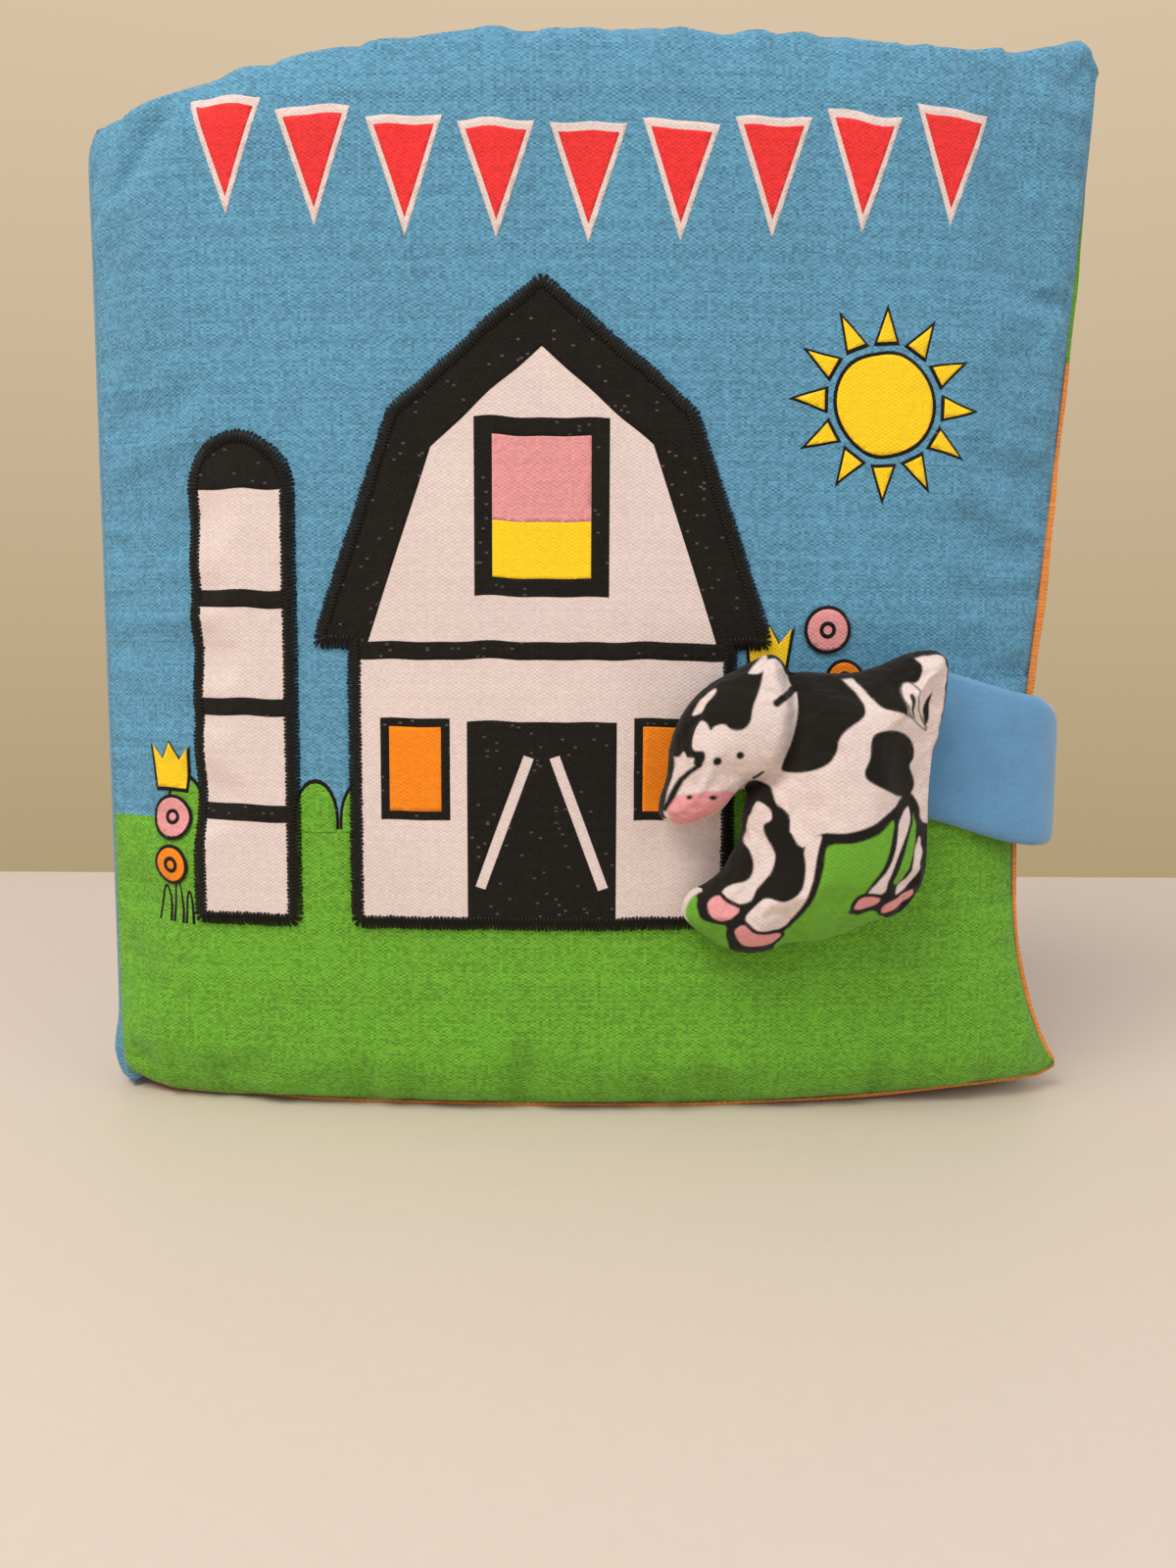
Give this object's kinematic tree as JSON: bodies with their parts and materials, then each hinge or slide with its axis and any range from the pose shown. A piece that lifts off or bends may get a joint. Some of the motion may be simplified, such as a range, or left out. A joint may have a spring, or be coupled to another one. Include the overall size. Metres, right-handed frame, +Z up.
{
  "type": "cloth book",
  "caption": "Padded cloth book standing closed: bowed stuffed covers creased to a rounded spine, stuffed leaves, a fore-edge strap that hooks to a tab, and a stuffed calf on the front.",
  "frame": {"origin": "on the table under the middle of the page block", "axes": "+X from the spine to the fore-edge, -Y out of the front cover, +Z up"},
  "size_m": [0.2343, 0.0771, 0.2462],
  "materials": {
    "cover_cloth": "plain woven cotton blend",
    "lining_cloth": "plain woven cotton blend",
    "page_cloth": "plain woven cotton blend",
    "strap_cloth": "brushed loop pile",
    "hook_tape": "stiff woven tape",
    "green_print": "plain woven cotton blend",
    "picture_cloth": "plain woven cotton blend",
    "black_thread": "satin-stitched thread",
    "black_print": "plain woven cotton blend",
    "red_print": "plain woven cotton blend",
    "pink_print": "plain woven cotton blend",
    "yellow_print": "plain woven cotton blend",
    "orange_print": "plain woven cotton blend",
    "toy_cloth": "plain woven cotton blend"
  },
  "bodies": {
    "block": {"spine": "cover_cloth", "pages": "page_cloth"},
    "front": {"front_cover": "cover_cloth", "front_lining": "lining_cloth", "closing_strap": "strap_cloth", "hook_patch": "hook_tape", "meadow_print": "green_print", "grass_print": "green_print", "bunting_edging": "picture_cloth", "bunting_flags": "red_print", "barn_cloth": "picture_cloth", "silo_cloth": "picture_cloth", "barn_stitching": "black_thread", "silo_stitching": "black_thread", "timber_print": "black_print", "silo_print": "black_print", "loft_door_print": "pink_print", "hay_print": "yellow_print", "window_print": "orange_print", "sun_print": "yellow_print", "daisy_print": "pink_print", "marigold_print": "orange_print", "tulip_print": "yellow_print", "toy_calf": "toy_cloth", "toy_patches": "black_print", "toy_muzzle": "pink_print", "toy_meadow": "green_print"},
    "back": {"back_cover": "cover_cloth", "loop_tab": "strap_cloth"}
  },
  "joints": [
    {"name": "front_cover_hinge", "type": "hinge", "parent": "block", "child": "front", "pos_m": [-0.11441, -0.01174, 0.12], "axis": [0, 0, -1], "range_deg": [0, 160]},
    {"name": "back_cover_hinge", "type": "hinge", "parent": "block", "child": "back", "pos_m": [-0.11441, 0.01174, 0.12], "axis": [0, 0, 1], "range_deg": [0, 160]}
  ]
}
